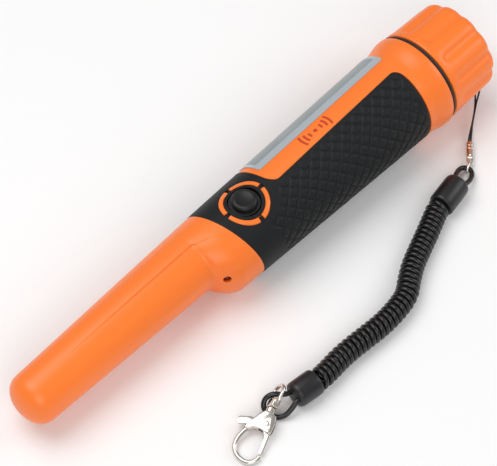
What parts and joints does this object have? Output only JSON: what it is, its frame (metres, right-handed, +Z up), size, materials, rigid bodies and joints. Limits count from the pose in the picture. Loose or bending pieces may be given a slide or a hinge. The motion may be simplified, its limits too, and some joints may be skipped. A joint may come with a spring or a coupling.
{
  "type": "handheld pinpointer probe",
  "caption": "Slim orange pinpointer probe with a rubber grip, round power button, screw-on lobed battery cap and a coiled lanyard with a snap hook.",
  "frame": {"origin": "on the resting surface, under the middle of the probe's box without its lanyard", "axes": "+X along the probe from the sensing tip to the battery cap, +Z up with the power button on top, the lanyard lies on the -Y side"},
  "size_m": [0.2416, 0.0906, 0.042],
  "materials": {
    "orange_shell": "satin",
    "soft_grip": "fine moulded diamond texture, matt",
    "button_plastic": "gloss",
    "seal_rubber": "matt",
    "label_film": "brushed silver film under gloss",
    "battery_jacket": "satin",
    "black_plastic": "matt",
    "foam": "closed cell foam",
    "steel": "satin",
    "chassis_plastic": "satin",
    "board": "solder mask",
    "plunger_plastic": "satin",
    "trimmer_plastic": "gloss",
    "ferrite": "sintered, matt",
    "bobbin_plastic": "satin",
    "copper": "enamelled wire",
    "red_wire": "satin",
    "black_wire": "satin",
    "led_lens": "clear red, gloss",
    "string": "braided",
    "cord_plastic": "semi gloss",
    "nickel": "bright nickel plate"
  },
  "bodies": {
    "housing": {"nose_shell": "orange_shell", "main_housing": "orange_shell", "label_strip": "label_film", "rubber_grip": "soft_grip", "button_bezel": "orange_shell", "neck_seal": "seal_rubber", "battery": "battery_jacket", "battery_snap": "black_plastic", "chassis": "chassis_plastic", "circuit_board": "board", "board_screw_1": "steel", "board_screw_2": "steel", "board_screw_3": "steel", "board_screw_4": "steel", "switch_body": "black_plastic", "control_chip": "black_plastic", "sensitivity_trimmer": "trimmer_plastic", "buzzer": "black_plastic", "vibration_motor": "steel", "ferrite_rod": "ferrite", "coil_bobbin": "bobbin_plastic", "receive_winding": "copper", "transmit_winding": "copper", "coil_lead_1": "black_wire", "coil_lead_2": "red_wire", "battery_lead_1": "black_wire", "battery_lead_2": "red_wire", "indicator_led": "led_lens"},
    "cap_travel": {"battery_pad": "foam", "battery_spring": "steel"},
    "cap": {"battery_cap": "orange_shell", "loop_string": "string", "string_ferrule": "nickel", "jump_link": "nickel", "upper_cord_eye": "cord_plastic", "upper_sleeve": "cord_plastic", "cord_coil": "cord_plastic", "lower_sleeve": "cord_plastic", "lower_cord_eye": "cord_plastic", "swivel_bail": "nickel", "swivel_pin": "nickel"},
    "button": {"power_button": "button_plastic"},
    "plunger": {"switch_plunger": "plunger_plastic"},
    "motor": {"motor_shaft": "steel", "motor_weight": "steel"},
    "hook": {"hook_body": "nickel", "gate_rivet": "nickel"},
    "gate": {"hook_gate": "nickel"}
  },
  "joints": [
    {"name": "cap_travel", "type": "slide", "parent": "housing", "child": "cap_travel", "axis": [0.9994, 0, 0.0339], "range_m": [0, 0.006]},
    {"name": "cap_turn", "type": "hinge", "parent": "cap_travel", "child": "cap", "pos_m": [0.10867, 0, 0.02157], "axis": [0.9994, 0, 0.0339], "range_deg": [0, 720]},
    {"name": "button_press", "type": "slide", "parent": "housing", "child": "button", "axis": [0.0339, 0, -0.9994], "range_m": [0, 0.0006], "stiffness_N_per_m": 3000},
    {"name": "switch_press", "type": "slide", "parent": "housing", "child": "plunger", "axis": [0.0339, 0, -0.9994], "range_m": [0, 0.0006]},
    {"name": "motor_spin", "type": "hinge", "parent": "housing", "child": "motor", "pos_m": [-0.00712, 0, 0.01344], "axis": [0.9994, 0, 0.0339], "continuous": true},
    {"name": "hook_swivel", "type": "hinge", "parent": "cap", "child": "hook", "pos_m": [-0.04902, -0.05795, 0.0052], "axis": [-0.9137, -0.371, -0.1656], "continuous": true},
    {"name": "gate_swing", "type": "hinge", "parent": "hook", "child": "gate", "pos_m": [-0.05672, -0.06205, 0.00374], "axis": [-0.1534, -0.0623, 0.9862], "range_deg": [-28, 0], "stiffness_Nm_per_rad": 0.02, "springref_deg": 5.73}
  ],
  "couplings": [
    {"joint": "cap_travel", "follows": "cap_turn", "m_per_rad": 0.00047746},
    {"joint": "switch_press", "follows": "button_press", "ratio": 1}
  ]
}
